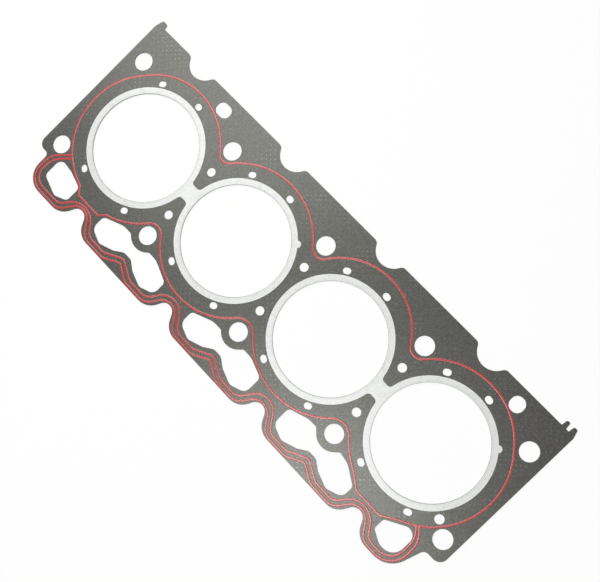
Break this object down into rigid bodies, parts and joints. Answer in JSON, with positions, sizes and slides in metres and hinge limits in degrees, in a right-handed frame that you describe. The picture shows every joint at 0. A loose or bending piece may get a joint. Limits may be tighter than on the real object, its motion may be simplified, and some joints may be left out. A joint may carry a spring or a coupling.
{
  "type": "cylinder head gasket",
  "caption": "Flat layered sealing sheet for an in-line engine's cylinder head, with metal-lined bores, stamped bolt, coolant, oil and pushrod openings and raised silicone sealing beads.",
  "frame": {"origin": "midway between cylinders 2 and 3 on the bore row, level with the face that lies on the engine block", "axes": "+X along the bore row towards cylinder 4, +Y towards the notched spark-plug side, +Z towards the cylinder head"},
  "size_m": [0.3758, 0.1405, 0.0017],
  "materials": {
    "facing": "matt nitrile-bound fibre facing",
    "core": "sheared sheet-steel core",
    "armour": "bright formed sheet steel",
    "bead": "satin printed silicone"
  },
  "bodies": {
    "root": {"facing_bottom": "facing", "core_plate": "core", "facing_top": "facing", "bore_armour_front": "armour", "bore_armour_rear": "armour", "seal_bead_top": "bead", "seal_bead_bottom": "bead"}
  },
  "joints": []
}
